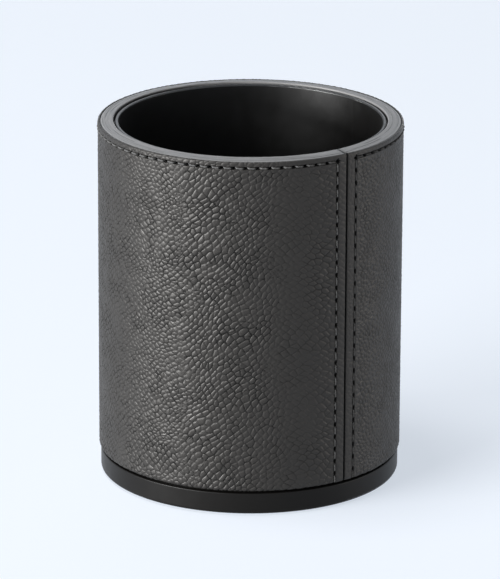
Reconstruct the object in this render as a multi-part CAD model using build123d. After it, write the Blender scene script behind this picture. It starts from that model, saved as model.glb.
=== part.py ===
from build123d import *
import math
import os

# Pen holder: a rigid tube wrapped in leather, with a hanging liner cup and a screwed-on plinth.
# Millimetres. +Z is up, the origin is on the table under the middle, and the seam faces -Y.

# Driving dimensions

# Overall
outer_diameter = 85.0
overall_height = 102.0

# Foot pad
pad_thickness = 1.6
pad_proud = 0.4
pad_margin = 5.0
pad_clearance = 0.2

# Plinth
plinth_inset = 0.5
plinth_height = 6.1
plinth_floor = 2.4
plinth_foot_radius = 0.9
plinth_top_radius = 0.35
seat_inset = 1.6
shadow_gap = 0.6
spigot_height = 3.5
spigot_wall = 2.2
spigot_clearance = 0.15

# Base screws
screw_count = 3
screw_inset = 10.0
screw_diameter = 2.9
screw_length = 8.0
screw_head_diameter = 5.6
screw_hex = 2.0
screw_hex_depth = 1.0
screw_clearance = 0.1

# Core tube
core_wall = 3.4
glue_line = 0.05

# Liner cup
liner_wall = 1.0
liner_clearance = 0.1
liner_floor = 2.0
liner_drop = 0.5
liner_lip_radius = 0.45
liner_corner_radius = 2.0
liner_foot_gap = 0.3
shoulder_depth = 1.5
shoulder_thickness = 1.0
boss_diameter = 7.0
boss_clearance = 0.2
boss_roof = 0.4

# Floor mat
mat_thickness = 1.5
mat_clearance = 0.3

# Leather wrap
leather = 0.6
hem_width = 8.0
seam_gap = 0.6
wrap_top_radius = 0.5
wrap_foot_radius = 0.9
seam_edge_radius = 0.4
backing_clearance = 0.1

# Tape behind the seam
tape_width = 14.0
tape_thickness = 0.3
tape_clearance = 0.1

# Rim strip
strip_thickness = 1.1
strip_fall = 0.35
strip_setback = 0.3
strip_edge_radius = 0.3
strip_gap = 0.4

# Stitching
thread_diameter = 0.45
thread_clearance = 0.05
groove_depth = 0.3
needle_leg_offset = 0.38
thread_bend = 0.28
top_row_drop = 1.75
top_stitch_pitch = 3.3
side_row_offset = 3.25
side_stitch_pitch = 3.58

# Sizes worked out from the driving dimensions

outer_radius = outer_diameter / 2
wrap_inner_radius = outer_radius - 2 * leather
hem_outer_radius = outer_radius - leather
core_outer_radius = wrap_inner_radius - glue_line
core_inner_radius = core_outer_radius - core_wall
liner_outer_radius = core_inner_radius - liner_clearance
liner_inner_radius = liner_outer_radius - liner_wall
strip_inner_radius = core_inner_radius + strip_setback
plinth_radius = outer_radius - plinth_inset
seat_radius = plinth_radius - seat_inset
spigot_radius = core_inner_radius - spigot_clearance
spigot_inner_radius = spigot_radius - spigot_wall
pad_radius = plinth_radius - pad_margin
screw_circle_radius = spigot_inner_radius - screw_inset

plinth_bottom = pad_proud
plinth_top = plinth_bottom + plinth_height
plinth_floor_top = pad_thickness + plinth_floor
core_bottom = plinth_top + shadow_gap
core_top = overall_height - strip_thickness
spigot_top = core_bottom + spigot_height
liner_bottom = spigot_top + liner_foot_gap
liner_floor_top = liner_bottom + liner_floor
liner_top = overall_height - liner_drop
shoulder_bottom = core_top - shoulder_depth
wrap_top = overall_height - strip_fall

thread_radius = thread_diameter / 2
groove_width = thread_diameter + 2 * thread_clearance
groove_floor_radius = outer_radius - groove_depth
thread_run_radius = groove_floor_radius + thread_clearance + thread_radius
thread_leg_depth = thread_run_radius - hem_outer_radius
needle_hole_length = 2 * needle_leg_offset + thread_diameter + 2 * thread_clearance

top_row_height = wrap_top - top_row_drop
side_row_foot = core_bottom - thread_radius - thread_clearance - needle_leg_offset
side_row_angle = math.degrees(side_row_offset / outer_radius)
top_row_arc = 360 - 2 * side_row_angle
top_stitch_count = round(math.radians(top_row_arc) * outer_radius / top_stitch_pitch)
side_stitch_count = round((top_row_height - side_row_foot) / side_stitch_pitch)
top_step = top_row_arc / top_stitch_count
side_step = (top_row_height - side_row_foot) / side_stitch_count

seam_direction = -90


def arc_degrees(length, radius):
    """The angle that a length along a circle of this radius covers."""
    return math.degrees(length / radius)


def section(corners):
    """A closed outline of (radius, height, corner rounding), standing in the XZ plane."""
    face = make_face(Polyline(*[(r, z) for r, z, _ in corners], close=True))
    for r, z, rounding in corners:
        if rounding > 0:
            corner = face.vertices().sort_by_distance((r, z))[0]
            face = fillet(corner, rounding)
    return Plane.XZ * face


def turned(corners):
    """A full body of revolution about Z."""
    return revolve(section(corners), axis=Axis.Z)


def turned_open(corners, opening):
    """A body of revolution about Z with an opening of that many degrees at the seam."""
    body = revolve(section(corners), axis=Axis.Z, revolution_arc=360 - opening)
    return Rot(0, 0, seam_direction + opening / 2) * body


def turned_patch(corners, width):
    """A body of revolution about Z that covers that many degrees, centred on the seam."""
    body = revolve(section(corners), axis=Axis.Z, revolution_arc=width)
    return Rot(0, 0, seam_direction - width / 2) * body


def band(inner, outer, bottom, top):
    """Corners of a plain rectangular section."""
    return [(inner, bottom, 0), (outer, bottom, 0), (outer, top, 0), (inner, top, 0)]


def screw_places():
    """Centres of the base screws on their circle."""
    return PolarLocations(screw_circle_radius, screw_count, start_angle=seam_direction)


def make_foot_pad():
    return Pos(0, 0, pad_thickness / 2) * Cylinder(pad_radius, pad_thickness)


def make_base_plinth():
    """Dished moulding: pad pocket below, seat and spigot above for the core tube."""
    pocket_radius = pad_radius + pad_clearance
    plinth = turned([
        (0, pad_thickness, 0),
        (pocket_radius, pad_thickness, 0),
        (pocket_radius, plinth_bottom, 0),
        (plinth_radius, plinth_bottom, plinth_foot_radius),
        (plinth_radius, plinth_top, plinth_top_radius),
        (seat_radius, plinth_top, 0),
        (seat_radius, core_bottom, 0),
        (spigot_radius, core_bottom, 0),
        (spigot_radius, spigot_top, 0),
        (spigot_inner_radius, spigot_top, 0),
        (spigot_inner_radius, plinth_floor_top, 0),
        (0, plinth_floor_top, 0),
    ])
    hole_radius = screw_diameter / 2 + screw_clearance
    sink_radius = screw_head_diameter / 2 + screw_clearance
    sink_depth = sink_radius - hole_radius
    for place in screw_places():
        plinth -= place * Pos(0, 0, pad_thickness + plinth_floor / 2) * Cylinder(hole_radius, plinth_floor)
        plinth -= place * Pos(0, 0, pad_thickness + sink_depth / 2) * Cone(sink_radius, hole_radius, sink_depth)
    return plinth


def make_base_screws():
    """Countersunk screws with hexagon sockets, heads flush with the pad pocket."""
    shank_radius = screw_diameter / 2
    head_radius = screw_head_diameter / 2
    head_height = head_radius - shank_radius
    shank = Pos(0, 0, screw_length / 2) * Cylinder(shank_radius, screw_length)
    head = Pos(0, 0, head_height / 2) * Cone(head_radius, shank_radius, head_height)
    socket = extrude(RegularPolygon(screw_hex / 2, 6, major_radius=False), screw_hex_depth)
    screw = shank + head - socket
    return Compound(children=[place * Pos(0, 0, pad_thickness) * screw for place in screw_places()])


def make_core_tube():
    """Stiff tube with a rebate at the top for the liner's shoulder and a recess for the seam tape."""
    core = turned([
        (core_inner_radius, core_bottom, 0),
        (core_outer_radius, core_bottom, 0),
        (core_outer_radius, core_top, 0),
        (strip_inner_radius, core_top, 0),
        (strip_inner_radius, shoulder_bottom, 0),
        (core_inner_radius, shoulder_bottom, 0),
    ])
    recess_radius = core_outer_radius - tape_thickness - glue_line
    recess_width = arc_degrees(tape_width + 2 * tape_clearance, core_outer_radius)
    recess = band(recess_radius, outer_radius, core_bottom, core_top)
    return core - turned_patch(recess, recess_width)


def make_seam_tape():
    """Black tape on the core that closes the bottom of the open seam."""
    strip = band(core_outer_radius - tape_thickness, core_outer_radius, core_bottom, core_top)
    return turned_patch(strip, arc_degrees(tape_width, core_outer_radius))


def make_liner_cup():
    """Thin cup that hangs on the core by its shoulder, with bosses below for the base screws."""
    shoulder_radius = strip_inner_radius - liner_clearance
    shoulder_top = shoulder_bottom + shoulder_thickness
    cup = turned([
        (0, liner_bottom, 0),
        (liner_outer_radius, liner_bottom, 0),
        (liner_outer_radius, shoulder_bottom, 0),
        (shoulder_radius, shoulder_bottom, 0),
        (shoulder_radius, shoulder_top, 0),
        (liner_outer_radius, shoulder_top, 0),
        (liner_outer_radius, liner_top, liner_lip_radius),
        (liner_inner_radius, liner_top, liner_lip_radius),
        (liner_inner_radius, liner_floor_top, liner_corner_radius),
        (0, liner_floor_top, 0),
    ])
    boss_bottom = plinth_floor_top + boss_clearance
    boss_height = liner_bottom - boss_bottom
    hole_height = boss_height - boss_roof
    boss = Cylinder(boss_diameter / 2, boss_height)
    hole = Pos(0, 0, -boss_roof / 2) * Cylinder(screw_diameter / 2 + glue_line, hole_height)
    for place in screw_places():
        cup += place * Pos(0, 0, boss_bottom + boss_height / 2) * (boss - hole)
    return cup


def make_floor_mat():
    """Felt disc in the bottom of the cup, inside the rounded corner."""
    radius = liner_inner_radius - liner_corner_radius - mat_clearance
    return Pos(0, 0, liner_floor_top + mat_thickness / 2) * Cylinder(radius, mat_thickness)


def hem_pocket(clearance):
    """Corners and seam opening of the space that the turned hems leave behind the leather."""
    bottom = core_bottom + hem_width + clearance
    top = core_top - hem_width - clearance
    opening = arc_degrees(seam_gap + 2 * (hem_width + clearance), outer_radius)
    return bottom, top, opening


def make_wrap_backing():
    """Interlining that fills the pocket between the hems."""
    bottom, top, opening = hem_pocket(backing_clearance)
    sheet = band(wrap_inner_radius, hem_outer_radius - glue_line, bottom, top)
    return turned_open(sheet, opening)


def needle_hole(along_the_rim):
    """A slot through the leather on the +X side, lying along the rim or upright."""
    slot = SlotOverall(needle_hole_length, groove_width)
    turn = 0 if along_the_rim else 90
    reach = outer_radius - wrap_inner_radius + groove_depth
    return extrude(Plane.YZ.offset(wrap_inner_radius - groove_depth) * Rot(0, 0, turn) * slot, reach + groove_depth)


def stitch_channels():
    """Grooves and needle holes of the top row and of the two rows beside the seam."""
    rim_groove = band(
        groove_floor_radius,
        outer_radius + groove_depth,
        top_row_height - groove_width / 2,
        top_row_height + groove_width / 2,
    )
    cuts = [turned_open(rim_groove, 2 * side_row_angle)]
    rim_hole = Pos(0, 0, top_row_height) * needle_hole(along_the_rim=True)
    for count in range(top_stitch_count + 1):
        cuts.append(Rot(0, 0, seam_direction + side_row_angle + count * top_step) * rim_hole)
    groove_height = top_row_height - core_bottom + groove_depth
    side_groove = Pos(outer_radius, 0, top_row_height - groove_height / 2) * Box(
        2 * groove_depth, groove_width, groove_height
    )
    for angle in (seam_direction - side_row_angle, seam_direction + side_row_angle):
        cuts.append(Rot(0, 0, angle) * side_groove)
        for count in range(side_stitch_count):
            height = top_row_height - count * side_step
            cuts.append(Rot(0, 0, angle) * Pos(0, 0, height) * needle_hole(along_the_rim=False))
    return cuts


def make_outer_wrap():
    """Leather panel with turned hems, its two ends meeting at the open seam."""
    wrap = turned_open(
        [
            (wrap_inner_radius, core_bottom, 0),
            (outer_radius, core_bottom, wrap_foot_radius),
            (outer_radius, wrap_top, wrap_top_radius),
            (hem_outer_radius, wrap_top, 0),
            (hem_outer_radius, core_top, 0),
            (wrap_inner_radius, core_top, 0),
        ],
        arc_degrees(seam_gap, outer_radius),
    )
    upright = wrap.edges().filter_by(Axis.Z)
    seam_edges = upright.sort_by(lambda edge: Vector(edge.center().X, edge.center().Y).length)[-2:]
    wrap = fillet(seam_edges, seam_edge_radius)
    bottom, top, opening = hem_pocket(0)
    wrap -= turned_open(band(wrap_inner_radius - glue_line, hem_outer_radius, bottom, top), opening)
    return wrap - stitch_channels()


def make_rim_strip():
    """Smooth strip over the top of the core, falling outward to the edge of the leather."""
    return turned_open(
        [
            (strip_inner_radius, core_top, 0),
            (hem_outer_radius, core_top, 0),
            (hem_outer_radius, wrap_top, strip_edge_radius),
            (strip_inner_radius, overall_height, strip_edge_radius),
        ],
        arc_degrees(strip_gap, outer_radius),
    )


def make_stitch(span):
    """One run of thread along X between two needle holes, with its legs pointing to -Y."""
    half = span / 2 - needle_leg_offset
    route = FilletPolyline(
        (-half, -thread_leg_depth),
        (-half, 0),
        (half, 0),
        (half, -thread_leg_depth),
        radius=thread_bend,
    )
    start = Plane(origin=route @ 0, z_dir=route % 0)
    return sweep(start * Circle(thread_radius), path=route)


def make_top_row():
    """Stitches round the top, from one side of the seam to the other."""
    chord = 2 * thread_run_radius * math.sin(math.radians(top_step) / 2)
    stitch = make_stitch(chord)
    stitches = []
    for count in range(top_stitch_count):
        angle = math.radians(seam_direction + side_row_angle + (count + 0.5) * top_step)
        outward = Vector(math.cos(angle), math.sin(angle), 0)
        along = Vector(-outward.Y, outward.X, 0)
        middle = outward * thread_run_radius * math.cos(math.radians(top_step) / 2)
        place = Plane(origin=middle + Vector(0, 0, top_row_height), x_dir=along, z_dir=(0, 0, -1))
        stitches.append(place.location * stitch)
    return Compound(children=stitches)


def make_side_row(side):
    """Stitches beside the seam, from the top row's corner hole to the foot of the leather."""
    stitch = make_stitch(side_step)
    angle = math.radians(seam_direction + side * side_row_angle)
    outward = Vector(math.cos(angle), math.sin(angle), 0)
    across = Vector(-outward.Y, outward.X, 0)
    stitches = []
    for count in range(side_stitch_count):
        height = top_row_height - (count + 0.5) * side_step
        middle = outward * thread_run_radius + Vector(0, 0, height)
        stitches.append(Plane(origin=middle, x_dir=(0, 0, 1), z_dir=across).location * stitch)
    return Compound(children=stitches)


nodes = {
    "foot_pad": make_foot_pad(),
    "base_plinth": make_base_plinth(),
    "base_screws": make_base_screws(),
    "core_tube": make_core_tube(),
    "seam_tape": make_seam_tape(),
    "liner_cup": make_liner_cup(),
    "floor_mat": make_floor_mat(),
    "wrap_backing": make_wrap_backing(),
    "outer_wrap": make_outer_wrap(),
    "rim_strip": make_rim_strip(),
    "top_row_stitches": make_top_row(),
    "left_seam_stitches": make_side_row(-1),
    "right_seam_stitches": make_side_row(1),
}

os.makedirs("parts", exist_ok=True)
for name, piece in nodes.items():
    export_step(piece, f"parts/{name}.step")
    print(name, len(piece.solids()), round(piece.volume, 2))
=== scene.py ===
import math
from typing import NamedTuple

import bpy
import numpy as np
from mathutils import Matrix, Vector


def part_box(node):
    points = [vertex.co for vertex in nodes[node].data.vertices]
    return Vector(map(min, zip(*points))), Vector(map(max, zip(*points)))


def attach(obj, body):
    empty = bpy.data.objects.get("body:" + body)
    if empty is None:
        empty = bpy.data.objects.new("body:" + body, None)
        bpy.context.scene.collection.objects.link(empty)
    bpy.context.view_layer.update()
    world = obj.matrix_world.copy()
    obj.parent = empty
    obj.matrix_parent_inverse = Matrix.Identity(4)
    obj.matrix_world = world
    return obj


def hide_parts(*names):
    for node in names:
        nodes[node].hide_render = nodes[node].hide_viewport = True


# A pen cup wrapped in stitched leather. The leather, the rim strip and the thread are made here in place of
# their plain solids. The other solids stay and get materials. Lengths are in metres, and the seam faces -Y.

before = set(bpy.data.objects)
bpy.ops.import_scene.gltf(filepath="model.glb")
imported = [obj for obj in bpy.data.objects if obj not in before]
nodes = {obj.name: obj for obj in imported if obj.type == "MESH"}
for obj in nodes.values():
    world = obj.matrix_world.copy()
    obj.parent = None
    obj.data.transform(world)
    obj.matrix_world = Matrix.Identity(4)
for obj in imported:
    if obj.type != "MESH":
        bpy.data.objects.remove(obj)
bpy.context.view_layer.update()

MM = 0.001

# Sizes read from the frame
wrap_low, wrap_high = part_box("outer_wrap")
strip_low, strip_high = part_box("rim_strip")
backing_low, backing_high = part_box("wrap_backing")
top_row_low, top_row_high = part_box("top_row_stitches")
left_row_low, left_row_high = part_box("left_seam_stitches")
core_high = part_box("core_tube")[1]

glue_line = 0.05 * MM
wrap_radius = wrap_high.x
wrap_length = 2 * math.pi * wrap_radius
wrap_bottom = wrap_low.z
wrap_top = wrap_high.z
wrap_inner_radius = core_high.x + glue_line
hem_radius = strip_high.x
# The angle from the seam at which the turned hem ends and the interlining begins
hem_angle = math.acos(-backing_low.y / backing_high.x)
strip_bottom = strip_low.z
rim_top = strip_high.z

# Directions, round the cup for the seam and in a cross-section for the faces of an edge
seam_direction = -math.pi / 2
facing_down = -math.pi / 2
facing_out = 0
facing_up = math.pi / 2

# Leather panel
leather = 0.6 * MM
foot_roll = 0.9 * MM
top_roll = 0.42 * MM
fold_roll = 0.17 * MM
fold_depth = 0.1 * MM
fold_clearance = 0.01 * MM
strip_clearance = 0.02 * MM
pocket_clearance = 0.1 * MM
seam_gap = 0.55 * MM
seam_roll = 0.26 * MM
seam_shade = 1.1
seam_shade_reach = (0.45, 0.95)
hem_pillow = 0.05 * MM

# Sampling of the leather's face
grain_step = 0.16 * MM
fine_step = 0.075 * MM
fine_reach = 0.75 * MM

# Stitching
top_stitch_count = 79
side_stitch_count = 26
top_row_height = (top_row_low.z + top_row_high.z) / 2
side_row_angle = math.asin(-(left_row_low.x + left_row_high.x) / 2 / wrap_radius)
side_row_foot = wrap_bottom - 0.65 * MM
hole_length = 0.94 * MM
hole_width = 0.46 * MM
hole_depth = 0.95 * MM
hole_wall = 0.7
trough_depth = 0.17 * MM
trough_width = 0.30 * MM
trough_wall = 0.20 * MM
trough_end = (0.5 * MM, 0.2 * MM)
trough_shade = 0.3

# Thread
thread_radius = 0.23 * MM
thread_inset = 0.55 * MM
thread_dip = 0.75 * MM
thread_foot = wrap_bottom + 0.25 * MM
thread_slant = 0.06 * MM
thread_rise_share = 0.18
thread_stations = 17
thread_around = 12
thread_plies = 3
ply_depth = 0.13
ply_twist = 0.9

# Rim strip. The frame gives no inner radius, so it is stated here.
strip_inner_radius = 38.15 * MM
strip_groove = 0.12 * MM
strip_outer_radius = hem_radius - strip_groove
strip_outer_top = wrap_top - 0.05 * MM
strip_upper_part = strip_bottom + 0.3 * MM
strip_edge_roll = 0.28 * MM
strip_crown = 0.8
strip_gap_outer = 0.55 * MM
strip_gap_inner = 0.34 * MM
strip_gap_curve = 1.5
strip_stations = 721
strip_top_rows = 41

# Surface of the rim strip, with heights and runs in millimetres and places as shares of its width. A wave is
# a height, a stretch across the strip, a run and a seed. A ply line is a place and a seed.
strip_waves = ((0.030, 3, 5.0, 51), (0.016, 9, 1.7, 52))
end_dip_depth = 0.16
end_dip_reach = 0.5
ply_lines = ((0.36, 53), (0.62, 54), (0.80, 55))
ply_line_depth = 0.10
ply_line_level = 0.5
ply_line_width = 0.035
ply_line_run = 7.0
# Highlights painted along the strip's inner and outer edges, as shares of its width
inner_edge_painted_highlight = 0.25
inner_edge_highlight_width = 0.08
outer_edge_painted_highlight = 0.6
outer_edge_highlight_place = 0.92
outer_edge_highlight_width = 0.05


# Leather grain, in millimetres on the unrolled panel. x is 0 at the seam and falls away to the left of it.

class PebbleKind(NamedTuple):
    """Pebbles in rows. rows and cuts are the angle in degrees and the spacing of the lines that part the rows
    and of those that cut them. The widths are shares of a pebble, and lean is how far the tops tilt."""
    rows: tuple
    cuts: tuple
    seed: int
    straightness: float
    crease_width: float
    edge_width: float
    lean: float


class CreaseKind(NamedTuple):
    """Long creases over the pebbles, at an angle in degrees. share says how much of them shows."""
    angle: float
    spacing: float
    seed: int
    share: float
    strength: float


small_pebbles = PebbleKind(
    rows=(38, 1.30), cuts=(-44, 1.35), seed=21, straightness=0.3, crease_width=0.09, edge_width=0.32, lean=1.1
)
climbing_pebbles = PebbleKind(
    rows=(42, 1.38), cuts=(-55, 2.0), seed=22, straightness=0.85, crease_width=0.08, edge_width=0.25, lean=1.1
)
falling_pebbles = PebbleKind(
    rows=(-38, 1.55), cuts=(30, 2.0), seed=23, straightness=0.9, crease_width=0.10, edge_width=0.22, lean=0.6
)
level_creases = CreaseKind(angle=3, spacing=2.0, seed=31, share=0.4, strength=0.40)
climbing_creases = CreaseKind(angle=46, spacing=3.6, seed=35, share=0.7, strength=0.50)
falling_creases = CreaseKind(angle=-46, spacing=2.7, seed=33, share=0.7, strength=0.60)

# Where each zone of the grain begins, and where it is full
small_zone = (-42, -50)
falling_zone = (-25, -17)
glossy_zone = (-34, -22)
even_zone = (-95, -115)
zone_wander = 5
zone_wander_cell = 9.0

# Pebbles, with jitters and margins as shares of a pebble. A cell is about as wide as a feature of the noise.
pebble_jitter = 0.75
row_jitter = 0.65
row_jitter_loss = 0.45
cut_ease_gain = 0.6
pebble_edge_level = 0.8
groove_share = 0.65
groove_margin = 0.09
crease_level = 0.72
crease_swing = 0.5
crease_swing_cell = 2.4

# Long creases, and the bends of the rows
long_crease_width = 0.15
long_crease_wander = 0.25
long_crease_wander_cell = 4.0
long_crease_breaks = 0.9
long_crease_break_cell = 3.2
slow_bend = 1.0
slow_bend_cell = 9.0
quick_bend = 0.25
quick_bend_cell = 2.6

# Heights of the grain and the shade painted into its creases, and what the zones change in them. A fine
# layer is a share, a cell and a seed.
pebble_height = 0.084
crease_depth = 0.021
fine_height = 0.0105
fine_layers = ((0.6, 0.5, 7), (1.0, 1.1, 8))
glossy_height_gain = 0.25
even_height_gain = 0.30
even_long_crease_loss = 0.7
crease_limit = 1.2
falling_crease_limit_loss = 0.5
glossy_shade_loss = 0.10
even_shade_loss = 0.40
crease_shade_curve = 1.5

# Strength of the grain, by the distance from the seam, below 0 on the left
full_on_left = (-14, -27)
full_on_right = (26, 52)
bold_middle = -35
bold_width = 12
side_hem_reach = 2.6
top_hem_reach = 2.2
hem_strength = 0.35
hem_strength_far_gain = 0.40
inner_strength = 0.80
inner_strength_far_gain = 0.08
inner_strength_bold_gain = 0.26
strength_swing = 0.15
strength_swing_cell = 9.0

# Stage
floor_half_side = 8.0
floor_colour = (0.34, 0.35, 0.37, 1)
floor_seen = (0.582, 0.632, 0.701, 1)
world_colour = (1.0, 1.0, 1.0, 1)
world_strength = 0.03
world_seen = (0.845, 0.905, 0.985, 1)
lamp_white = (1.0, 1.0, 0.995)
card_warm = (1.0, 0.91, 0.82)
lamp_distance = 2.4
lamp_aim = Vector((0, 0, 0.05))

# Camera, with angles in degrees and its lens and sensor in millimetres
camera_azimuth = -38.2
camera_elevation = 17.93
camera_distance = 1.35
camera_roll = 0.25
camera_lens = 299.0
camera_sensor = 36
camera_aim = Vector((0, 0, 0.052))


# Mesh building

def mesh_object(name, points, faces, material, replaced):
    """A smooth-shaded piece from points and faces, riding on the part in place of CAD nodes."""
    mesh = bpy.data.meshes.new(name)
    mesh.from_pydata(points, [], faces)
    mesh.validate()
    mesh.shade_smooth()
    piece = bpy.data.objects.new(name, mesh)
    bpy.context.scene.collection.objects.link(piece)
    mesh.materials.append(material)
    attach(piece, "root")
    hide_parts(*replaced)
    return piece


def keep_shut_in(piece, values):
    """Keep how shut in each point is; the material paints shade by it, and a highlight below 0."""
    attribute = piece.data.attributes.new("shut_in", "FLOAT", "POINT")
    attribute.data.foreach_set("value", values.reshape(-1).astype(np.float32))


def ring_faces(stations, around):
    """Quads of a tube of that many stations, each a closed ring of points, with its two ends capped."""
    i = np.arange(stations - 1)[:, None] * around
    j = np.arange(around)[None, :]
    k = (j + 1) % around
    quads = np.stack([i + j, i + k, i + around + k, i + around + j], -1).reshape(-1, 4)
    first = list(range(around))[::-1]
    last = list(range((stations - 1) * around, stations * around))
    return quads.tolist() + [first, last]


def stepped(low, high, spots):
    """Places from low to high at the grain's step, and at the fine step near each spot."""
    places = [low]
    while places[-1] < high:
        here = places[-1]
        near = any(abs(here - spot) < fine_reach for spot in spots)
        places.append(here + (fine_step if near else grain_step))
    places[-1] = high
    return np.array(places)


def quarter(count):
    """Angles of a quarter turn, ends left out."""
    return np.linspace(0, math.pi / 2, count + 2)[1:-1]


def rolled_corner(centre_r, centre_z, radius, start, count):
    """(radius, height, outward normal) along a quarter turn round an edge, from this angle, ends left out."""
    turn = start + quarter(count)
    out = np.cos(turn)
    up = np.sin(turn)
    return np.stack([centre_r + radius * out, centre_z + radius * up, out, up], -1)


def ramp(value, start, end):
    """0 up to start, 1 from end on, and an easy curve between. End may be the lower one."""
    share = np.clip((value - start) / (end - start), 0, 1)
    return share * share * (3 - 2 * share)


def bump(value, middle, width):
    """1 in the middle, falling off to both sides."""
    return np.exp(-(((value - middle) / width) ** 2))


def lattice_noise(x, y, cell, seed):
    """Smooth noise from -1 to 1 with features about as wide as cell."""
    side = 256
    table = np.random.default_rng(seed).uniform(-1, 1, (side, side))
    i = np.floor(x / cell).astype(int)
    j = np.floor(y / cell).astype(int)
    u = ramp(x / cell - i, 0, 1)
    v = ramp(y / cell - j, 0, 1)
    low = table[i % side, j % side] * (1 - u) + table[(i + 1) % side, j % side] * u
    high = table[i % side, (j + 1) % side] * (1 - u) + table[(i + 1) % side, (j + 1) % side] * u
    return low * (1 - v) + high * v


# Leather grain

def cell_borders(x, y, seed, jitter_x, jitter_y, cut_ease):
    """For points on a unit grid of scattered cells, in rows shifted like bricks: the distance to the nearest
    border of the cell, and the height of a flat top that leans its own way in each cell. The borders inside
    a row count as farther by cut_ease, so that they come out finer."""
    side = 512
    beyond_reach = 9.0
    rng = np.random.default_rng(seed)
    jog_x = 0.5 + jitter_x * rng.uniform(-0.5, 0.5, (side, side))
    jog_y = 0.5 + jitter_y * rng.uniform(-0.5, 0.5, (side, side))
    row_shift = rng.uniform(0, 1, side)
    leans = rng.uniform(-1, 1, (2, side, side))
    nearest = np.full(x.shape, beyond_reach)
    centre_x = np.zeros_like(x)
    centre_y = np.zeros_like(x)
    centre_row = np.zeros(x.shape, int)
    top = np.zeros_like(x)
    spots = []
    for row in (-1, 0, 1):
        j = np.floor(y).astype(int) + row
        shift = row_shift[j % side]
        for column in (-2, -1, 0, 1, 2):
            i = np.floor(x - shift).astype(int) + column
            spot_x = i + shift + jog_x[i % side, j % side]
            spot_y = j + jog_y[i % side, j % side]
            spots.append((spot_x, spot_y, j))
            distance = (spot_x - x) ** 2 + (spot_y - y) ** 2
            closer = distance < nearest
            nearest = np.where(closer, distance, nearest)
            centre_x = np.where(closer, spot_x, centre_x)
            centre_y = np.where(closer, spot_y, centre_y)
            centre_row = np.where(closer, j, centre_row)
            lean_x, lean_y = leans[:, i % side, j % side]
            top = np.where(closer, lean_x * (x - spot_x) + lean_y * (y - spot_y), top)
    border = np.full(x.shape, beyond_reach)
    for spot_x, spot_y, row in spots:
        apart = np.hypot(spot_x - centre_x, spot_y - centre_y)
        other = apart > 1e-9
        to_middle_x = (spot_x + centre_x) / 2 - x
        to_middle_y = (spot_y + centre_y) / 2 - y
        away = to_middle_x * (spot_x - centre_x) + to_middle_y * (spot_y - centre_y)
        distance = away / np.where(other, apart, 1) * np.where(row == centre_row, cut_ease, 1)
        border = np.where(other, np.minimum(border, distance), border)
    return border, top


def across_lines(x, y, angle, spacing):
    """Distance across lines that run at this angle, counted in spacings."""
    turn = math.radians(angle)
    return (y * math.cos(turn) - x * math.sin(turn)) / spacing


def pebbles(x, y, kind):
    """Height of the pebbles, about 0 on top and less between, and their creases, about 1 along a crease."""
    along = across_lines(x, y, *kind.cuts)
    across = across_lines(x, y, *kind.rows)
    jitter_across = row_jitter - row_jitter_loss * kind.straightness
    cut_ease = 1 + cut_ease_gain * kind.straightness
    border, top = cell_borders(along, across, kind.seed, pebble_jitter, jitter_across, cut_ease)
    edge = np.tanh(border / kind.edge_width) - pebble_edge_level
    groove = bump(border, 0, kind.crease_width + groove_margin)
    uneven = crease_level + crease_swing * lattice_noise(x, y, crease_swing_cell, kind.seed + 5)
    return edge + kind.lean * top - groove_share * groove, bump(border, 0, kind.crease_width) * uneven


def creases(x, y, kind):
    """Broken, wandering creases: the kind's strength along a crease and 0 between."""
    wander = long_crease_wander * lattice_noise(x, y, long_crease_wander_cell, kind.seed)
    across = across_lines(x, y, kind.angle, kind.spacing) + wander
    distance = np.abs(across - np.round(across)) * kind.spacing
    breaks = long_crease_breaks * lattice_noise(x, y, long_crease_break_cell, kind.seed + 1)
    shown = ramp(kind.share + breaks, 0, 1)
    return kind.strength * shown * bump(distance, 0, long_crease_width)


def bend(x, y, seed):
    """Slow and quick shifts that keep the rows of pebbles from running straight."""
    slow = slow_bend * lattice_noise(x, y, slow_bend_cell, seed)
    quick = quick_bend * lattice_noise(x, y, quick_bend_cell, seed + 1)
    return slow + quick


def pebbled_grain(x, y):
    """Height of the grain, and how much shade is painted into its creases.

    Far from the seam the pebbles are small and even, then they are longer and stand in rows that climb to the
    right, and beside the seam in rows that fall to the right. Round the back the grain is calmer.
    """
    bent_x = x + bend(x, y, 1)
    bent_y = y + bend(x, y, 3)
    away = ramp(x - zone_wander * lattice_noise(x, y, zone_wander_cell, 9), *small_zone)
    near = ramp(x + zone_wander * lattice_noise(x, y, zone_wander_cell, 10), *falling_zone)
    between = (1 - away) * (1 - near)
    glossy = ramp(x, *glossy_zone)
    even = ramp(x, *even_zone)

    height = np.zeros_like(x)
    crease = np.zeros_like(x)
    for share, kind in ((away, small_pebbles), (between, climbing_pebbles), (near, falling_pebbles)):
        here = share > 0
        top, line = pebbles(bent_x[here], bent_y[here], kind)
        height[here] += share[here] * top
        crease[here] += share[here] * line
    long_share = 1 - even_long_crease_loss * even
    crease = crease + creases(bent_x, bent_y, level_creases) * long_share
    crease = crease + creases(bent_x, bent_y, climbing_creases) * between
    crease = crease + creases(bent_x, bent_y, falling_creases) * away * long_share
    crease = np.minimum(crease, crease_limit - falling_crease_limit_loss * near)

    fine = sum(share * lattice_noise(x, y, cell, seed) for share, cell, seed in fine_layers)
    relief = pebble_height * height * (1 + glossy_height_gain * glossy + even_height_gain * even)
    relief = relief - crease_depth * crease * (1 + glossy) + fine_height * fine
    return relief, crease * (1 - glossy_shade_loss * glossy) * (1 - even_shade_loss * even)


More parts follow.
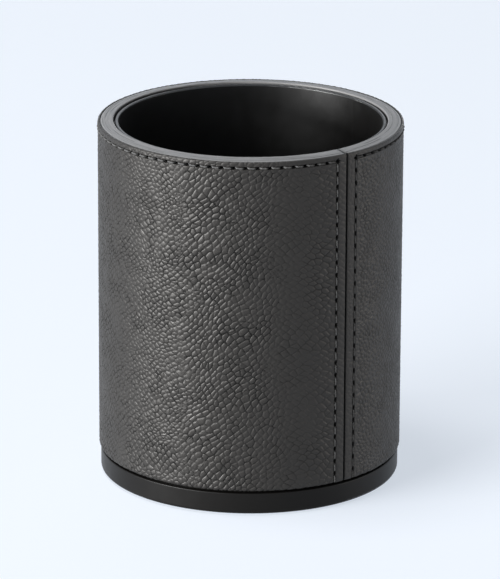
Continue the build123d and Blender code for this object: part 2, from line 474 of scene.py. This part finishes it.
def grain_strength(arc, z, to_side_row, to_top_row):
    """Share of the full grain at each place: weak on the hems and calmer towards the seam."""
    far = np.maximum(ramp(arc, *full_on_left), ramp(arc, *full_on_right))
    inside = np.minimum(ramp(to_side_row, 0, side_hem_reach), ramp(to_top_row, 0, top_hem_reach))
    hem = hem_strength + hem_strength_far_gain * far
    bold = bump(arc, bold_middle, bold_width)
    full = inner_strength + inner_strength_far_gain * far + inner_strength_bold_gain * bold
    uneven = 1 + strength_swing * lattice_noise(arc, z, strength_swing_cell, 41)
    return (hem + (1 - hem) * inside) * full * uneven


# Leather panel

def wrap_section():
    """(radius, height, outward normal) round the leather's cross-section, from its inner foot. The normal is
    0 where the leather doesn't show. The pocket for the interlining comes last."""
    face = stepped(wrap_bottom + foot_roll, wrap_top - top_roll, [top_row_height])
    foot = rolled_corner(wrap_radius - foot_roll, wrap_bottom + foot_roll, foot_roll, facing_down, count=6)
    top = rolled_corner(wrap_radius - top_roll, wrap_top - top_roll, top_roll, facing_out, count=6)
    fold = rolled_corner(hem_radius + fold_roll, wrap_top - fold_roll, fold_roll, facing_up, count=3)
    fold_radius = hem_radius + fold_clearance
    hem_top = strip_bottom - strip_clearance
    pocket_top = backing_high.z + pocket_clearance
    pocket_bottom = backing_low.z - pocket_clearance
    hidden = [
        (fold_radius, wrap_top - fold_roll - fold_depth),
        (fold_radius, hem_top),
        (wrap_inner_radius, hem_top),
        (wrap_inner_radius, pocket_top),
        (hem_radius, pocket_top),
        (hem_radius, pocket_bottom),
        (wrap_inner_radius, pocket_bottom),
    ]
    rows = [(wrap_inner_radius, wrap_bottom, 0, 0)]
    rows.extend(foot)
    rows.extend((wrap_radius, z, 1, 0) for z in face)
    rows.extend(top)
    rows.extend((r, z, 0, 0) for r, z, _, _ in fold)
    rows.extend((r, z, 0, 0) for r, z in hidden)
    return np.array(rows)


def wrap_stations():
    """Arc lengths from the seam at which the leather's section stands, and how far each is rolled in."""
    edge = seam_gap / 2
    row = side_row_angle * wrap_radius
    straight = stepped(edge + seam_roll, wrap_length - edge - seam_roll, [row, wrap_length - row])
    turn = quarter(count=7)
    first = np.concatenate([[edge, edge], edge + seam_roll * (1 - np.cos(turn))])
    sunk = np.concatenate([[wrap_radius, seam_roll], seam_roll * (1 - np.sin(turn))])
    arcs = np.concatenate([first, straight, (wrap_length - first)[::-1]])
    return arcs, np.concatenate([sunk, np.zeros(len(straight)), sunk[::-1]])


def top_hole_angles():
    """Angles from the seam of the needle holes round the top."""
    return np.linspace(side_row_angle, 2 * math.pi - side_row_angle, top_stitch_count + 1)


def side_hole_heights():
    """Heights of the needle holes beside the seam. The last is under the leather's foot."""
    return np.linspace(top_row_height, side_row_foot, side_stitch_count + 1)


def needle_hole(along, across):
    """Depth of one needle hole, from 0 outside to 1 in the middle."""
    distance = (along / hole_length) ** 2 + (across / hole_width) ** 2
    return np.clip(1 - distance, 0, 1) ** hole_wall


def needle_holes(arc, z, to_side_row, to_top_row):
    """Depth of the needle holes of all three rows, from 0 to 1."""
    holes = np.zeros_like(z)
    on_top_row = np.abs(to_top_row) < hole_length
    for angle in top_hole_angles():
        along = arc - angle * wrap_radius
        near = on_top_row & (np.abs(along) < hole_length)
        holes[near] = np.maximum(holes[near], needle_hole(along[near], to_top_row[near]))
    on_side_row = np.abs(to_side_row) < hole_length
    for height in side_hole_heights():
        near = on_side_row & (np.abs(z - height) < hole_length)
        holes[near] = np.maximum(holes[near], needle_hole(z[near] - height, to_side_row[near]))
    return holes


def stitch_trough(z, to_side_row, to_top_row):
    """Depth of the trough that the thread lies in, from 0 to 1. It runs out just past the corner holes."""
    lip = trough_width + trough_wall
    far_end, near_end = trough_end
    side_line = ramp(np.abs(to_side_row), lip, trough_width)
    side_line = side_line * ramp(z, top_row_height + far_end, top_row_height + near_end)
    top_line = ramp(np.abs(to_top_row), lip, trough_width)
    top_line = top_line * ramp(to_side_row, -far_end, -near_end)
    return np.maximum(side_line, top_line)


def wrap_relief(arc, z):
    """How far the leather's face stands out at each place, and how shut in the place is, from 0 up."""
    from_seam = np.minimum(arc, wrap_length - arc)
    row = side_row_angle * wrap_radius
    to_side_row = from_seam - row
    to_top_row = top_row_height - z
    signed_arc = np.where(arc > wrap_length / 2, arc - wrap_length, arc)

    grain, crease = pebbled_grain((arc - wrap_length) / MM, z / MM)
    strength = grain_strength(signed_arc / MM, z / MM, to_side_row / MM, to_top_row / MM)
    side_hem = np.clip(from_seam / row, 0, 1)
    top_hem = np.clip((z - top_row_height) / (wrap_top - top_row_height), 0, 1)
    pillow = np.maximum(np.sin(math.pi * side_hem), np.sin(math.pi * top_hem))
    trough = stitch_trough(z, to_side_row, to_top_row)
    holes = needle_holes(arc, z, to_side_row, to_top_row)

    # The shut-in value sets painted shade in the creases, needle holes and stitch trough
    height = grain * strength * MM + hem_pillow * pillow - trough_depth * trough - hole_depth * holes
    shade = crease * strength ** crease_shade_curve
    shut_in = np.maximum(shade, np.maximum(holes, trough_shade * trough))
    return height, shut_in


def make_wrap(material):
    """The leather panel, with its grain, rolled edges, open seam and stitch holes as real relief."""
    section = wrap_section()
    arcs, sunk = wrap_stations()
    whole = np.zeros((len(arcs), len(section)))
    radius = section[:, 0] + whole
    z = section[:, 1] + whole
    arc = arcs[:, None] + whole
    from_seam = np.minimum(arcs, wrap_length - arcs)
    # Beside the seam the turned hem fills the pocket, so the pocket's two outer rows lie against the tube.
    pocket_rows = slice(-3, -1)
    radius[from_seam < hem_angle * wrap_radius, pocket_rows] = wrap_inner_radius

    shown = np.any(section[:, 2:] != 0, axis=1)
    height, shut_in = wrap_relief(arc, z)
    height = np.where(shown, height, 0)
    r = np.maximum(radius + height * section[:, 2] - sunk[:, None], wrap_inner_radius)
    r = np.where(shown, r, np.minimum(radius, r + leather))
    z = z + height * section[:, 3]
    # Painted shade where the leather rolls in at the seam
    edge_shade = np.interp(sunk / seam_roll, seam_shade_reach, (0, seam_shade))
    shut_in = np.maximum(shut_in, edge_shade[:, None])
    angle = seam_direction + arc / wrap_radius
    points = np.stack([r * np.cos(angle), r * np.sin(angle), z], -1).reshape(-1, 3)
    faces = ring_faces(len(arcs), len(section))
    piece = mesh_object("leather_wrap", points.tolist(), faces, material, ["outer_wrap"])
    keep_shut_in(piece, shut_in)


# Rim strip

def strip_section():
    """(radius, height) round the strip's cross-section, from its inner foot. The top climbs to the inside."""
    inner = strip_inner_radius
    outer = strip_outer_radius
    roll = strip_edge_roll
    share = np.linspace(0, 1, strip_top_rows)
    top_radius = outer - roll - share * (outer - inner - 2 * roll)
    top_height = strip_outer_top + (rim_top - strip_outer_top) * share ** strip_crown
    return np.concatenate([
        [(inner, strip_bottom), (outer, strip_bottom), (outer, strip_outer_top - roll)],
        rolled_corner(outer - roll, strip_outer_top - roll, roll, facing_out, count=4)[:, :2],
        np.stack([top_radius, top_height], -1),
        rolled_corner(inner + roll, rim_top - roll, roll, facing_up, count=4)[:, :2],
        [(inner, rim_top - roll)],
    ])


def strip_relief(run, across):
    """How far the strip's top stands out, in millimetres, how far a place is sunk at a ply line or an end,
    which the material paints as shade, and the highlight painted along its edges."""
    wave = np.zeros_like(run)
    for size, stretch, length, seed in strip_waves:
        wave = wave + size * lattice_noise(run, across * stretch, length, seed)
    end_dip = np.exp(-np.minimum(run, wrap_length / MM - run) / end_dip_reach)
    plies = np.zeros_like(run)
    for ply_place, seed in ply_lines:
        depth = np.clip(ply_line_level + lattice_noise(run, 0 * run, ply_line_run, seed), 0, 1)
        plies = plies + depth * bump(across, ply_place, ply_line_width)
    painted_highlight = inner_edge_painted_highlight * bump(across, 0, inner_edge_highlight_width)
    painted_highlight = painted_highlight + outer_edge_painted_highlight * bump(across, outer_edge_highlight_place, outer_edge_highlight_width)
    relief = wave - end_dip_depth * end_dip - ply_line_depth * plies
    return relief, np.maximum(plies, end_dip), painted_highlight


def make_rim_strip(material):
    """The smooth strip on the rim, with a butt joint at the seam that closes towards the inside."""
    section = strip_section()
    share = np.linspace(0, 1, strip_stations)[:, None]
    radius = section[:, 0] + 0 * share
    height = section[:, 1] + 0 * share
    across = (radius - strip_inner_radius) / (strip_outer_radius - strip_inner_radius)
    gap = strip_gap_inner + (strip_gap_outer - strip_gap_inner) * across ** strip_gap_curve
    start = gap / 2 / radius
    angle = seam_direction + start + share * (2 * math.pi - 2 * start)
    run = share * wrap_length / MM + 0 * radius
    upper = height > strip_upper_part
    relief, lines, painted_highlight = strip_relief(run, across)
    height = height + np.where(upper, relief * MM, 0)
    points = np.stack([radius * np.cos(angle), radius * np.sin(angle), height], -1).reshape(-1, 3)
    faces = ring_faces(len(share), len(section))
    piece = mesh_object("rim_binding", points.tolist(), faces, material, ["rim_strip"])
    # Painted shade at the ply lines and ends, less the highlight painted along the edges
    keep_shut_in(piece, lines - np.where(upper, painted_highlight, 0))


# Thread

def thread_tube(path):
    """Points and faces of a twisted thread of several plies along a path of points."""
    tangent = np.gradient(path, axis=0)
    tangent /= np.linalg.norm(tangent, axis=1, keepdims=True)
    # Any direction does here that no stitch runs along.
    slanting = [0.31, 0.17, 0.93]
    side = np.cross(tangent[len(path) // 2], slanting)
    turn = np.linspace(0, 2 * math.pi, thread_around, endpoint=False)
    points = []
    for station, (middle, along) in enumerate(zip(path, tangent)):
        first = side - along * np.dot(side, along)
        first /= np.linalg.norm(first)
        second = np.cross(along, first)
        size = thread_radius * (1 + ply_depth * np.cos(thread_plies * turn + ply_twist * station))
        points.append(middle + np.outer(size * np.cos(turn), first) + np.outer(size * np.sin(turn), second))
    return np.concatenate(points), ring_faces(len(path), thread_around)


def stitch_path(start, end, outward, across):
    """One stitch from hole to hole: it rises out of the first, lies in the trough and dips into the next."""
    share = np.linspace(0, 1, thread_stations)
    rise = ramp(np.minimum(share, 1 - share), 0, thread_rise_share)
    height = (rise - 1) * thread_dip
    slant = thread_slant * (1 - 2 * share)
    line = start[None, :] * (1 - share)[:, None] + end[None, :] * share[:, None]
    return line + height[:, None] * outward[None, :] + slant[:, None] * across[None, :]


def make_stitches(name, node, ends, material):
    """A row of separate stitches. ends holds (start, end, outward, across) for each."""
    points = []
    faces = []
    for start, end, outward, across in ends:
        tube, quads = thread_tube(stitch_path(start, end, outward, across))
        before = len(points)
        points.extend(tube.tolist())
        faces.extend([[corner + before for corner in face] for face in quads])
    mesh_object(name, points, faces, material, [node])


def top_row_ends():
    """Where each stitch of the top row starts and ends."""
    holes = seam_direction + top_hole_angles()
    inset = thread_inset / wrap_radius
    up = np.array([0, 0, 1.0])
    ends = []
    for a, b in zip(holes[:-1], holes[1:]):
        start = np.array([math.cos(a + inset), math.sin(a + inset), 0]) * wrap_radius
        end = np.array([math.cos(b - inset), math.sin(b - inset), 0]) * wrap_radius
        middle = (a + b) / 2
        outward = np.array([math.cos(middle), math.sin(middle), 0])
        ends.append((start + up * top_row_height, end + up * top_row_height, outward, up))
    return ends


def side_row_ends(side):
    """Where each stitch of the row on this side of the seam starts and ends."""
    angle = seam_direction + side * side_row_angle
    outward = np.array([math.cos(angle), math.sin(angle), 0])
    across = np.array([math.sin(angle), -math.cos(angle), 0])
    heights = side_hole_heights()
    ends = []
    for a, b in zip(heights[:-1], heights[1:]):
        start = outward * wrap_radius + np.array([0, 0, a - thread_inset])
        end = outward * wrap_radius + np.array([0, 0, max(b + thread_inset, thread_foot)])
        ends.append((start, end, outward, across))
    return ends


# Material building

def new_material(name, **sockets):
    """A material with one Principled shader, its plain sockets set here."""
    material = bpy.data.materials.new(name)
    material.use_nodes = True
    shader = material.node_tree.nodes["Principled BSDF"]
    for socket, value in sockets.items():
        shader.inputs[socket.replace("_", " ")].default_value = value
    return material, material.node_tree, shader


def place(tree):
    """Places on the object in the part's own frame, in metres."""
    return tree.nodes.new("ShaderNodeTexCoord").outputs["Object"]


def shut_in_value(tree):
    """How shut in each place is, as kept with the mesh, for painted shade and highlights."""
    node = tree.nodes.new("ShaderNodeAttribute")
    node.attribute_name = "shut_in"
    return node.outputs["Fac"]


def noise(tree, where, scale, detail):
    """Fractal noise from 0 to 1. scale is features per metre."""
    node = tree.nodes.new("ShaderNodeTexNoise")
    node.inputs["Scale"].default_value = scale
    node.inputs["Detail"].default_value = detail
    tree.links.new(where, node.inputs["Vector"])
    return node.outputs["Fac"]


def scattered_cells(tree, where, scale):
    """Distance to the border of scattered cells. scale is cells per metre."""
    node = tree.nodes.new("ShaderNodeTexVoronoi")
    node.feature = "DISTANCE_TO_EDGE"
    node.inputs["Scale"].default_value = scale
    tree.links.new(where, node.inputs["Vector"])
    return node.outputs["Distance"]


def calculated(tree, operation, first, second):
    """The result of a maths operation on two values."""
    node = tree.nodes.new("ShaderNodeMath")
    node.operation = operation
    tree.links.new(first, node.inputs[0])
    tree.links.new(second, node.inputs[1])
    return node.outputs[0]


def remap(tree, value, span, to_span):
    """A value's span spread over another span, and held at its ends."""
    node = tree.nodes.new("ShaderNodeMapRange")
    for socket, number in zip(("From Min", "From Max", "To Min", "To Max"), (*span, *to_span)):
        node.inputs[socket].default_value = number
    tree.links.new(value, node.inputs["Value"])
    return node.outputs["Result"]


def mixed(tree, share, first, second):
    """A colour between two, by share. Each may be a colour or another node's output."""
    node = tree.nodes.new("ShaderNodeMix")
    node.data_type = "RGBA"
    tree.links.new(share, node.inputs["Factor"])
    for socket, colour in ((node.inputs[6], first), (node.inputs[7], second)):
        if isinstance(colour, tuple):
            socket.default_value = (*colour, 1)
        else:
            tree.links.new(colour, socket)
    return node.outputs[2]


def raised(tree, shader, height, distance, strength, below=None):
    """A bump of this distance on the shader, over another bump if there is one."""
    node = tree.nodes.new("ShaderNodeBump")
    node.inputs["Strength"].default_value = strength
    node.inputs["Distance"].default_value = distance
    tree.links.new(height, node.inputs["Height"])
    if below is not None:
        tree.links.new(below, node.inputs["Normal"])
    tree.links.new(node.outputs["Normal"], shader.inputs["Normal"])
    return node.outputs["Normal"]


def grey(level):
    """A neutral colour."""
    return (level, level, level)


# Materials

def leather_material():
    """Dark grey pebbled leather: painted shade in creases, needle holes, stitch troughs and seam edges, dull
    creases, fine pores and an uneven sheen.
    """
    material, tree, shader = new_material(
        "pebbled_leather", Specular_IOR_Level=0.35, Specular_Tint=(1.0, 0.985, 0.965, 1)
    )
    where = place(tree)
    depth = shut_in_value(tree)
    cloud = noise(tree, where, scale=90, detail=4)
    tone = mixed(tree, cloud, (0.0157, 0.0143, 0.0130), (0.0208, 0.0190, 0.0173))
    # Painted shade: the more shut in a place is, the nearer its colour comes to black
    colour = mixed(tree, remap(tree, depth, (0.1, 0.8), (0, 1)), tone, grey(0.002))
    tree.links.new(colour, shader.inputs["Base Color"])
    sheen = remap(tree, noise(tree, where, scale=400, detail=3), (0.3, 0.7), (0.41, 0.49))
    dull = remap(tree, depth, (0.1, 0.7), (0.4, 1.0))
    tree.links.new(calculated(tree, "MAXIMUM", sheen, dull), shader.inputs["Roughness"])
    pores = raised(tree, shader, noise(tree, where, scale=5200, detail=3), distance=0.03 * MM, strength=0.5)
    cells = scattered_cells(tree, where, scale=1900)
    raised(tree, shader, cells, distance=0.06 * MM, strength=0.35, below=pores)
    return material


def streaks_round_the_rim(tree, where):
    """Noise drawn out into streaks that run round the cup."""
    split = tree.nodes.new("ShaderNodeSeparateXYZ")
    tree.links.new(where, split.inputs[0])
    turn = calculated(tree, "ARCTAN2", split.outputs["X"], split.outputs["Y"])
    distance = tree.nodes.new("ShaderNodeVectorMath")
    distance.operation = "LENGTH"
    tree.links.new(where, distance.inputs[0])
    unrolled = tree.nodes.new("ShaderNodeCombineXYZ")
    tree.links.new(remap(tree, turn, (-1, 1), (-1.2 * MM, 1.2 * MM)), unrolled.inputs["X"])
    tree.links.new(distance.outputs["Value"], unrolled.inputs["Y"])
    return noise(tree, unrolled.outputs[0], scale=4200, detail=4)


def strip_material():
    """Smooth grey strip with fine streaks round the rim, painted shade in ply lines, painted edge highlights.
    """
    material, tree, shader = new_material("smooth_leather", Specular_IOR_Level=0.45)
    where = place(tree)
    depth = shut_in_value(tree)
    streaks = streaks_round_the_rim(tree, where)
    streaked = remap(tree, streaks, (0.35, 0.65), (0, 1))
    tone = mixed(tree, streaked, (0.094, 0.093, 0.094), (0.200, 0.198, 0.199))
    # Painted shade in the ply-line grooves and the dipped ends at the joint
    groove_shaded_tone = mixed(tree, remap(tree, depth, (0, 1), (0, 0.85)), tone, grey(0.03))
    # Painted highlight along the edges, where the kept value is below 0
    colour = mixed(tree, remap(tree, depth, (0, -1), (0, 1)), groove_shaded_tone, grey(0.27))
    tree.links.new(colour, shader.inputs["Base Color"])
    tree.links.new(remap(tree, streaks, (0.3, 0.7), (0.36, 0.5)), shader.inputs["Roughness"])
    grooves = raised(tree, shader, streaks, distance=0.05 * MM, strength=0.5)
    pores = noise(tree, where, scale=3000, detail=3)
    raised(tree, shader, pores, distance=0.03 * MM, strength=0.4, below=grooves)
    return material


def satin_black(name, colour, gloss, rough, texture_scale, texture_height):
    """Moulded black plastic with a fine texture and slightly uneven gloss."""
    material, tree, shader = new_material(name, Specular_IOR_Level=gloss)
    where = place(tree)
    paler = tuple(part * 1.2 for part in colour)
    cloud = noise(tree, where, scale=60, detail=4)
    tree.links.new(mixed(tree, cloud, colour, paler), shader.inputs["Base Color"])
    uneven = noise(tree, where, scale=300, detail=3)
    tree.links.new(remap(tree, uneven, (0.3, 0.7), rough), shader.inputs["Roughness"])
    cells = scattered_cells(tree, where, texture_scale)
    grain = raised(tree, shader, cells, distance=texture_height, strength=0.5)
    specks = noise(tree, where, scale=texture_scale * 2.5, detail=2)
    raised(tree, shader, specks, distance=texture_height / 3, strength=0.4, below=grain)
    return material


def fibre_material(name, dark, pale, scale, rough):
    """Felt, board, tape or interlining: matted fibres in two tones."""
    material, tree, shader = new_material(name, Roughness=rough, Specular_IOR_Level=0.25)
    fibres = noise(tree, place(tree), scale, detail=6)
    tone = mixed(tree, remap(tree, fibres, (0.35, 0.65), (0, 1)), dark, pale)
    tree.links.new(tone, shader.inputs["Base Color"])
    raised(tree, shader, fibres, distance=0.2 * MM, strength=0.6)
    return material


def thread_material():
    """Dark bonded thread with fine fibres."""
    material, tree, shader = new_material("sewing_thread", Specular_IOR_Level=0.1)
    fibres = noise(tree, place(tree), scale=6000, detail=3)
    tree.links.new(mixed(tree, fibres, grey(0.055), grey(0.14)), shader.inputs["Base Color"])
    tree.links.new(remap(tree, fibres, (0.3, 0.7), (0.6, 0.8)), shader.inputs["Roughness"])
    raised(tree, shader, fibres, distance=0.04 * MM, strength=0.5)
    return material


def steel_material():
    """Zinc-plated screw steel with fine turning marks."""
    material, tree, shader = new_material("plated_steel", Metallic=1.0)
    marks = noise(tree, place(tree), scale=2500, detail=4)
    tree.links.new(mixed(tree, marks, (0.42, 0.42, 0.43), (0.60, 0.60, 0.61)), shader.inputs["Base Color"])
    tree.links.new(remap(tree, marks, (0.3, 0.7), (0.28, 0.42)), shader.inputs["Roughness"])
    return material


def dress(node, material):
    """A CAD node that stays takes this material."""
    slots = nodes[node].data.materials
    slots.clear()
    slots.append(material)


# Stage, light and camera

def direction(azimuth, elevation):
    """Unit vector from the cup towards a place at this azimuth and elevation, in degrees."""
    a = math.radians(azimuth)
    e = math.radians(elevation)
    return Vector((math.sin(a) * math.cos(e), -math.cos(a) * math.cos(e), math.sin(e)))


def backdrop_share(tree):
    """1 for rays that see the pale backdrop, from the camera or by gloss or glass, and 0 for other rays."""
    rays = tree.nodes.new("ShaderNodeLightPath")
    share = rays.outputs["Is Camera Ray"]
    for kind in ("Is Glossy Ray", "Is Transmission Ray"):
        share = calculated(tree, "MAXIMUM", share, rays.outputs[kind])
    return share


def make_floor():
    """A wide floor that keeps the cup's shadow, and that the camera, gloss and glass see as pale as a lit
    studio sweep."""
    side = floor_half_side
    mesh = bpy.data.meshes.new("floor")
    corners = [(-side, -side, 0), (side, -side, 0), (side, side, 0), (-side, side, 0)]
    mesh.from_pydata(corners, [], [(0, 1, 2, 3)])
    floor = bpy.data.objects.new("floor", mesh)
    bpy.context.scene.collection.objects.link(floor)
    material, tree, shader = new_material(
        "pale_floor",
        Base_Color=floor_colour,
        Roughness=0.9,
        Specular_IOR_Level=0.0,
        Emission_Color=floor_seen,
    )
    tree.links.new(backdrop_share(tree), shader.inputs["Emission Strength"])
    mesh.materials.append(material)


def make_world():
    """Weak even light from all round, which the camera, gloss and glass see as a pale backdrop."""
    world = bpy.data.worlds.new("studio")
    world.use_nodes = True
    tree = world.node_tree
    background = tree.nodes["Background"]
    background.inputs["Color"].default_value = world_colour
    background.inputs["Strength"].default_value = world_strength
    backdrop = tree.nodes.new("ShaderNodeBackground")
    backdrop.inputs["Color"].default_value = world_seen
    either = tree.nodes.new("ShaderNodeMixShader")
    tree.links.new(backdrop_share(tree), either.inputs["Fac"])
    tree.links.new(background.outputs[0], either.inputs[1])
    tree.links.new(backdrop.outputs[0], either.inputs[2])
    tree.links.new(either.outputs[0], tree.nodes["World Output"].inputs["Surface"])
    bpy.context.scene.world = world


def soft_box(name, azimuth, elevation, size, watts, colour):
    """A rectangular soft light that faces the cup. Azimuth is counted from the camera's."""
    light = bpy.data.lights.new(name, "AREA")
    light.shape = "RECTANGLE"
    light.size, light.size_y = size
    light.energy = watts
    light.color = colour
    lamp = bpy.data.objects.new(name, light)
    bpy.context.scene.collection.objects.link(lamp)
    back = direction(camera_azimuth + azimuth, elevation)
    lamp.location = lamp_aim + back * lamp_distance
    lamp.rotation_euler = (-back).to_track_quat("-Z", "Y").to_euler()
    lamp.visible_camera = False


def make_camera():
    """The photograph's view."""
    data = bpy.data.cameras.new("camera")
    data.sensor_width = camera_sensor
    data.lens = camera_lens
    camera = bpy.data.objects.new("camera", data)
    bpy.context.scene.collection.objects.link(camera)
    back = direction(camera_azimuth, camera_elevation)
    camera.location = camera_aim + back * camera_distance
    turn = (-back).to_track_quat("-Z", "Y").to_matrix().to_4x4()
    roll = Matrix.Rotation(math.radians(camera_roll), 4, "Z")
    camera.rotation_euler = (turn @ roll).to_euler()
    bpy.context.scene.camera = camera


# The dressed cup

make_wrap(leather_material())
make_rim_strip(strip_material())
thread = thread_material()
make_stitches("top_row_thread", "top_row_stitches", top_row_ends(), thread)
make_stitches("left_seam_thread", "left_seam_stitches", side_row_ends(-1), thread)
make_stitches("right_seam_thread", "right_seam_stitches", side_row_ends(1), thread)

dress("liner_cup", satin_black(
    "liner_plastic", (0.0014, 0.0012, 0.0010),
    gloss=0.57, rough=(0.35, 0.39), texture_scale=1500, texture_height=0.01 * MM,
))
dress("base_plinth", satin_black(
    "plinth_plastic", (0.0040, 0.0035, 0.0030),
    gloss=0.16, rough=(0.38, 0.43), texture_scale=4000, texture_height=0.02 * MM,
))
dress("core_tube", fibre_material("black_board", grey(0.003), grey(0.008), scale=1500, rough=0.9))
dress("seam_tape", fibre_material("black_tape", grey(0.002), grey(0.005), scale=2500, rough=0.9))
dress("floor_mat", fibre_material("black_felt", grey(0.006), (0.022, 0.022, 0.023), scale=2200, rough=0.95))
dress("foot_pad", fibre_material("foam_rubber", grey(0.010), grey(0.022), scale=1800, rough=0.85))
dress("wrap_backing", fibre_material("interlining", grey(0.10), grey(0.20), scale=1800, rough=0.95))
dress("base_screws", steel_material())

# The studio

make_floor()
make_world()
soft_box("key_light", azimuth=-65, elevation=5, size=(0.85, 0.42), watts=91, colour=lamp_white)
soft_box("upper_key_light", azimuth=-46, elevation=18, size=(0.85, 0.6), watts=40, colour=lamp_white)
soft_box("fill_card", azimuth=85, elevation=1, size=(0.7, 0.15), watts=12, colour=card_warm)
soft_box("right_edge_card", azimuth=165, elevation=1, size=(0.7, 0.15), watts=3, colour=card_warm)
soft_box("back_light", azimuth=180, elevation=30, size=(1.6, 0.6), watts=4, colour=lamp_white)
soft_box("top_light", azimuth=-85, elevation=75, size=(0.9, 0.9), watts=26, colour=lamp_white)
make_camera()
bpy.context.scene.view_settings.view_transform = "Standard"
